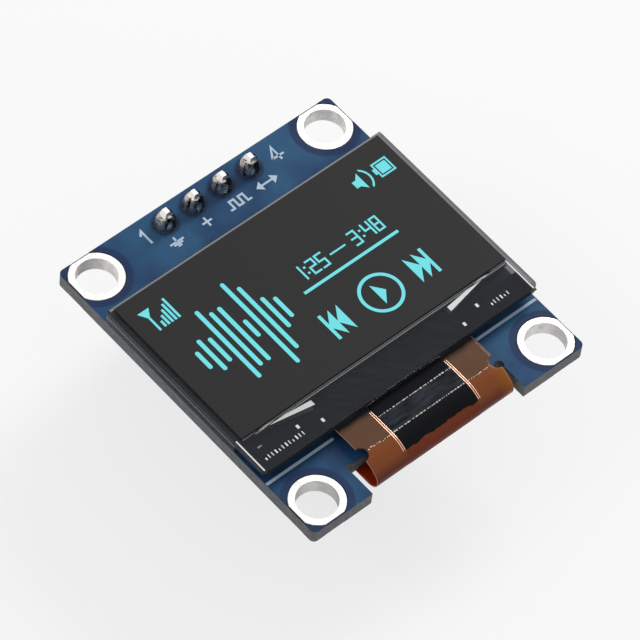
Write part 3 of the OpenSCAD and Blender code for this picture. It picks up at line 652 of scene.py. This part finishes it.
def blackCoat():
    # matt black light-blocking coat: nearly black, with a painted grey reflection in slanting streaks on the
    # flat over the chip
    material, tree, shader, spot = newMaterial("black coating, printed", coatLook)
    x, y, z = addNode(tree, "SeparateXYZ", {0: spot}, None)
    below = addNode(tree, "MapRange", {"Value": y, "From Min": riseEnd + 0.03, "From Max": riseEnd - 0.05})
    above = addNode(tree, "MapRange", {"Value": y, "From Min": bendY - 0.03, "From Max": bendY + 0.05})
    flat = addNode(tree, "Math", {"operation": "MULTIPLY", 0: below, 1: above})
    # painted reflection: slanting grey streaks on the flat over the chip
    reflectionSlant = addNode(tree, "Mapping", {"Vector": spot, "Rotation": (0, 0, math.radians(coatLook["lean"])),
                                       "Scale": (0.5, 1.8, 1)})
    reflectionStreaks = addNode(tree, "TexNoise", {"Vector": reflectionSlant, "Scale": 1 / 0.6, "Detail": 4})
    amount = addNode(tree, "MapRange", {"Value": reflectionStreaks, "From Min": 0.3, "From Max": 0.7})
    amount = addNode(tree, "Math", {"operation": "MULTIPLY", 0: amount, 1: flat})
    colour = addNode(tree, "Mix", {"data_type": "RGBA", "Factor": amount, 6: coatLook["black"],
                                   7: coatLook["smear"]}, 2)
    fill(shader, {"Base Color": colour})
    return material


film = amberFilm()
coat = blackCoat()
copper = unevenMaterial("bare copper line, etched", copperLook, 0.2, 0.25, 0.4)
trace = unevenMaterial("copper trace under amber cover", traceLook, 0.2, 0.25, 0.4)
# painted highlight: white glint for the coat's creases
creaseGlint = unevenMaterial("painted glint on a crease", creaseGlintLook, 0.1, 0.3, 0.6)


def notched(x, d):
    # half-round bite in each side of the upper layer, taken up by the columns of the flank
    y, z, a = alongFilm(d)
    away = abs(y - bendY)
    flank = foldShape["flank"]
    inner = filmHigh.x - flank
    if z < maskTop or away >= foldShape["notchR"] or abs(x) <= inner:
        return x
    bite = math.sqrt(foldShape["notchR"] ** 2 - away ** 2)
    squeezed = inner + (abs(x) - inner) * (flank - bite) / flank
    return math.copysign(squeezed, x)


side = filmHigh.x
flank = foldShape["flank"]
sheetColumns = even(-side, -side + flank, 8) + even(-side + flank, side - flank, 44)[1:]
sheetColumns += even(side - flank, side, 8)[1:]
sheet = filmStrip("foldedFilm", 0, endAt, foldShape["step"], sheetColumns, (0, -foldShape["thickness"]), film,
                  fitted=notched)
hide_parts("film")

coatLow, coatHigh = inMm("chip_coating")
coatEnd = bendAt + bendR * math.radians(foldShape["coatAngle"])
coatLifts = (0.003, 0.02)
coatSheet = filmStrip("chipCoat", edgeAt, coatEnd + 0.15, foldShape["step"], even(coatLow.x, coatHigh.x, 90),
                      coatLifts, coat, ragged=0.3)
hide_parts("chip_coating")

guard = {"width": 0.055, "gap": 0.09}
for sideName, sign in (("left", -1), ("right", 1)):
    for order in (0, 1):
        near = coatHigh.x + 0.04 + order * (guard["width"] + guard["gap"])
        edges = sorted((sign * near, sign * (near + guard["width"])))
        piece = filmStrip(f"guardLine{sideName.title()}{order + 1}", edgeAt + 0.35, coatEnd,
                          foldShape["step"], edges, coatLifts, copper)
        if order == 0:
            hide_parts("guard_line_" + sideName)

traceLayout = {"pitch": 0.14, "width": 0.075, "height": 0.02}
traceCount = int((coatHigh.x - coatLow.x) / traceLayout["pitch"])
for i in range(traceCount):
    x = (i - (traceCount - 1) / 2) * traceLayout["pitch"]
    half = traceLayout["width"] / 2
    filmStrip(f"foldTrace{i + 1}", coatEnd - 0.6, endAt, 0.14, (x - half, x + half),
                            (0.001, traceLayout["height"] - 0.008), trace)
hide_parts("fold_traces")
dress(unevenMaterial("bare silicon", {"Base Color": "#3a3c40", "IOR": 1.9}, 0.3, 0.2, 0.3), "driver_chip")
dress(unevenMaterial("black underfill resin", {"Base Color": "#131313"}, 0.3, 0.2, 0.4), "chip_resin")

# painted highlights: white dashes of glint where the coat creases, and a wavy pale one on each wing
creases = {"dash": (0.04, 0.2), "gap": (0.02, 0.16)}


def glintDashes(start, end, at, width, wave, seed):
    # short bright pieces of painted glint along a crease; at(x) is the crease's distance along the film
    vertices = []
    faces = []
    x = start
    while x < end:
        length = chance.uniform(*creases["dash"])
        middle = at(x) + wave * noise.noise(Vector((x * 2.2, seed, 0)))
        half = width / 2 * chance.uniform(0.35, 1.0)
        base = len(vertices)
        for lift in (0.018, 0.026):
            vertices += [onFilm(x, middle - half, lift), onFilm(x + length, middle - half, lift),
                         onFilm(x + length, middle + half, lift), onFilm(x, middle + half, lift)]
        faces += [[base, base + 3, base + 2, base + 1], [base + 4, base + 5, base + 6, base + 7]]
        faces += [[base + k, base + (k + 1) % 4, base + 4 + (k + 1) % 4, base + 4 + k] for k in range(4)]
        x += length + chance.uniform(*creases["gap"])
    return vertices, faces


# the first crease bends away from the glass towards its ends
bow = 0.16
lineup = [("glintOnCreaseAtGlass", -3.25, 3.25, lambda x: edgeAt - 0.25 + bow * (x / 3.25) ** 2, 0.08, 0.05),
          ("glintOnCreaseAboveChip", -3.2, 3.2, lambda x: riseAt, 0.1, 0.0),
          ("glintOnCreaseBelowChip", -3.2, 3.2, lambda x: bendAt, 0.1, 0.0)]
for order, (name, start, end, at, width, wave) in enumerate(lineup):
    vertices, faces = glintDashes(start, end, at, width, wave, order * 5.3)
    addPiece(name, vertices, faces, creaseGlint)
wingGlintLook = {"Base Color": "#f3cdb4", "Specular IOR Level": 0.3}
wingGlint = unevenMaterial("painted pale glint on a wing crease", wingGlintLook, 0.1, 0.3, 0.5)
for name, start, end in (("glintOnWingCreaseLeft", -5.5, -3.6), ("glintOnWingCreaseRight", 3.6, 5.5)):
    vertices, faces = glintDashes(start, end, lambda x: bendAt + 0.02, 0.09, 0.16, 2.9)
    addPiece(name, vertices, faces, wingGlint)
print("film folded")

bondLook = {"IOR": 1.5, "Specular IOR Level": 0.2, "Roughness": 0.5, "dark": "#2f3236", "light": "#5f646b",
            "streak": 0.55, "lean": 46.4}


def pressedBond():
    # conductive bonding film pressed by a hot bar: dark grey, with a painted reflection in lighter slanting
    # streaks
    material, tree, shader, spot = newMaterial("conductive bonding film, hot pressed", bondLook)
    turned = addNode(tree, "Mapping", {"Vector": spot, "Rotation": (0, 0, math.radians(bondLook["lean"]))})
    pulled = addNode(tree, "Mapping", {"Vector": turned, "Scale": (0.22, 1, 1)})
    # painted reflection: lighter slanting streaks, as a light gradient mirrored in the pressed film
    streaks = addNode(tree, "TexNoise", {"Vector": pulled, "Scale": 1 / bondLook["streak"], "Detail": 4})
    amount = addNode(tree, "MapRange", {"Value": streaks, "From Min": 0.36, "From Max": 0.66})
    colour = addNode(tree, "Mix", {"data_type": "RGBA", "Factor": amount, 6: bondLook["dark"],
                                   7: bondLook["light"]}, 2)
    fill(shader, {"Base Color": colour})
    return material


dress(pressedBond(), "bonding_strip")

chipLook = {"IOR": 1.5, "body": "#202124", "cap": "#d5d4d0", "capLength": 0.3}
ceramicLook = {"IOR": 1.6, "body": "#a08058", "cap": "#d5d4d0", "capLength": 0.3}
epoxyLook = {"IOR": 1.55, "Specular IOR Level": 0.35, "body": "#1c1c1d", "lead": "#cfcecb", "grain": 0.08}


def cappedChip(name, look, node):
    # fired ceramic chip with tinned caps at both ends
    material, tree, shader, spot = newMaterial(name, look)
    low, high = inMm(node)
    x, y, z = addNode(tree, "SeparateXYZ", {0: spot}, None)
    away = addNode(tree, "Math", {"operation": "SUBTRACT", 0: y, 1: (low.y + high.y) / 2})
    away = addNode(tree, "Math", {"operation": "ABSOLUTE", 0: away})
    capStart = (high.y - low.y) / 2 - look["capLength"]
    cap = addNode(tree, "MapRange", {"Value": away, "From Min": capStart - 0.01, "From Max": capStart})
    colour = addNode(tree, "Mix", {"data_type": "RGBA", "Factor": cap, 6: look["body"], 7: look["cap"]}, 2)
    patches = addNode(tree, "TexNoise", {"Vector": spot, "Scale": 1 / 0.2, "Detail": 2})
    gloss = addNode(tree, "MapRange", {"Value": patches, "From Min": 0.3, "From Max": 0.7, "To Min": 0.3,
                                       "To Max": 0.5})
    fill(shader, {"Base Color": colour, "Metallic": cap, "Roughness": gloss})
    return material


def leadedBody(name, look, node, halfX, halfY):
    # moulded epoxy, satin with a fine grain; what stands outside its block is tinned lead
    material, tree, shader, spot = newMaterial(name, look)
    low, high = inMm(node)
    centre = (low + high) / 2
    place = addNode(tree, "VectorMath", {"operation": "SUBTRACT", 0: spot, 1: centre})
    place = addNode(tree, "VectorMath", {"operation": "ABSOLUTE", 0: place})
    x, y, z = addNode(tree, "SeparateXYZ", {0: place}, None)
    outX = addNode(tree, "Math", {"operation": "GREATER_THAN", 0: x, 1: halfX})
    outY = addNode(tree, "Math", {"operation": "GREATER_THAN", 0: y, 1: halfY})
    metal = addNode(tree, "Math", {"operation": "MAXIMUM", 0: outX, 1: outY})
    colour = addNode(tree, "Mix", {"data_type": "RGBA", "Factor": metal, 6: look["body"], 7: look["lead"]}, 2)
    fine = addNode(tree, "TexNoise", {"Vector": spot, "Scale": 1 / look["grain"], "Detail": 2})
    gloss = addNode(tree, "MapRange", {"Value": fine, "From Min": 0.3, "From Max": 0.7, "To Min": 0.4,
                                       "To Max": 0.6})
    relief = addNode(tree, "Bump", {"Height": fine, "Distance": 0.003 * mm})
    fill(shader, {"Base Color": colour, "Metallic": metal, "Roughness": gloss, "Normal": relief})
    return material


resistors = [f"resistor_{i}" for i in range(1, 9)]
capacitors = [f"capacitor_{i}" for i in range(1, 8)]
dress(cappedChip("chip resistor, glazed", chipLook, "resistor_1"), *resistors)
dress(cappedChip("chip capacitor, fired ceramic", ceramicLook, "capacitor_1"), *capacitors)
bodyHalves = {"voltage_regulator": (1.46, 0.66), "diode": (0.66, 0.86)}
for name, kind in (("voltage_regulator", "regulator"), ("diode", "diode")):
    dress(leadedBody(f"{kind}, moulded epoxy", epoxyLook, name, *bodyHalves[name]), name)
dress(tin, "component_solder", "tail_solder")
softEdge(0.05, "voltage_regulator", "diode", *capacitors, *resistors)


def cornerMarks(node, clear, reach, w):
    # four printed corners round a component
    low, high = inMm(node)
    shapes = []
    for sx in (-1, 1):
        for sy in (-1, 1):
            x = (high.x if sx > 0 else low.x) + sx * clear
            y = (high.y if sy > 0 else low.y) + sy * clear
            shapes.append(stroke([(x - sx * reach, y), (x, y), (x, y - sy * reach)], w))
    return shapes


backMarks = []
corners = {"small": (0.38, 0.3, 0.12), "large": (0.25, 0.5, 0.14)}
for name in resistors + capacitors:
    backMarks += cornerMarks(name, *corners["small"])
for name in bodyHalves:
    backMarks += cornerMarks(name, *corners["large"])
for i, x in enumerate(pinXs):
    backMarks.append(block(x - 0.4, 9.6, x + 0.4, 9.75) if i else block(x - 0.4, 9.45, x + 0.4, 9.75))
addPrisms("backSilkscreen", backMarks, maskLow - printLook["thickness"], maskLow + sunk, screenPrint)

# the same ridges between the parts at the back
backTracks = []
for i, name in enumerate(resistors):
    low, high = inMm(name)
    x = (low.x + high.x) / 2
    if i < len(capacitors):
        capBox = inMm(capacitors[i])
        cx = (capBox[0].x + capBox[1].x) / 2
        points = [(x, low.y - 0.2), (x, low.y - 0.9), (cx, low.y - 2.0), (cx, capBox[1].y + 0.2)]
        backTracks.append(stroke(points, ridge["width"]))
    points = [(x, high.y + 0.2), (x, high.y + 0.9), (x * 0.72, high.y + 1.5)]
    backTracks.append(stroke(points, ridge["width"]))
for x in pinXs:
    backTracks.append(stroke([(x, pinRowY - 1.0), (x, 9.0), (x * 0.9, 8.3), (x * 0.9, 7.4)], ridge["width"]))
addPrisms("backTracks", backTracks, maskLow - ridge["height"] + 0.006, maskLow + sunk, mask)
print("back of the board dressed")

studio = {"floor": "#ffffff", "world": "#ffffff", "fill": 0.42, "seen": 0.72, "drop": 0.0005, "reach": 0.6}


def paleFloor():
    # matt paper: it shows white to the camera and in reflections, and keeps the part's soft shadow
    look = {"Base Color": studio["floor"], "Roughness": 1.0}
    material, tree, shader, spot = newMaterial("white paper floor", look)
    rays = addNode(tree, "LightPath", {}, None)
    seen = addNode(tree, "Math", {"operation": "MULTIPLY", 0: rays["Is Camera Ray"], 1: studio["seen"]})
    white = addNode(tree, "Emission", {"Color": studio["world"], "Strength": 1.0})
    mixed = addNode(tree, "MixShader", {0: seen, 1: shader.outputs[0], 2: white})
    fill(tree.nodes["Material Output"], {"Surface": mixed})
    return material


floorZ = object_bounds()[0][2] - studio["drop"]
reach = studio["reach"]
floorMesh = bpy.data.meshes.new("floor")
floorMesh.from_pydata([(-reach, -reach, floorZ), (reach, -reach, floorZ), (reach, reach, floorZ),
                       (-reach, reach, floorZ)], [], [[0, 1, 2, 3]])
floorMesh.materials.append(paleFloor())
floor = bpy.data.objects.new("floor", floorMesh)
bpy.context.collection.objects.link(floor)

world = bpy.data.worlds.new("studio")
bpy.context.scene.world = world
world.use_nodes = True
tree = world.node_tree
rays = addNode(tree, "LightPath", {}, None)
seen = addNode(tree, "Math", {"operation": "MAXIMUM", 0: rays["Is Camera Ray"], 1: rays["Is Glossy Ray"]})
strength = addNode(tree, "MapRange", {"Value": seen, "To Min": studio["fill"], "To Max": 1.0})
fill(tree.nodes["Background"], {"Color": studio["world"], "Strength": strength})

# a large softbox behind on the right throws the shadows forward, a weaker one opens them from the left
lamps = [{"name": "softboxRight", "place": (0.29, 0.09, 0.22), "size": 0.13, "power": 0.7},
         {"name": "softboxLeft", "place": (-0.24, 0.12, 0.24), "size": 0.14, "power": 0.2}]
for lamp in lamps:
    light = bpy.data.lights.new(lamp["name"], "AREA")
    light.size = lamp["size"]
    light.energy = lamp["power"]
    holder = bpy.data.objects.new(lamp["name"], light)
    holder.location = lamp["place"]
    holder.rotation_euler = Vector(lamp["place"]).to_track_quat("Z", "Y").to_euler()
    bpy.context.collection.objects.link(holder)

view = {"place": (-0.147499, -0.136766, 0.290036), "right": (0.7526, -0.65428, 0.07423),
        "down": (-0.50897, -0.64954, -0.56484), "ahead": (0.41778, 0.38732, -0.82185),
        "lens": 290.288, "sensor": 36, "near": 0.01}
cameraData = bpy.data.cameras.new("camera")
cameraData.lens = view["lens"]
cameraData.sensor_width = view["sensor"]
cameraData.clip_start = view["near"]
camera = bpy.data.objects.new("camera", cameraData)
axes = Matrix((view["right"], [-v for v in view["down"]], [-v for v in view["ahead"]])).transposed()
camera.matrix_world = Matrix.Translation(view["place"]) @ axes.to_4x4()
bpy.context.collection.objects.link(camera)
bpy.context.scene.camera = camera
bpy.context.scene.view_settings.view_transform = "Standard"
print("studio ready")
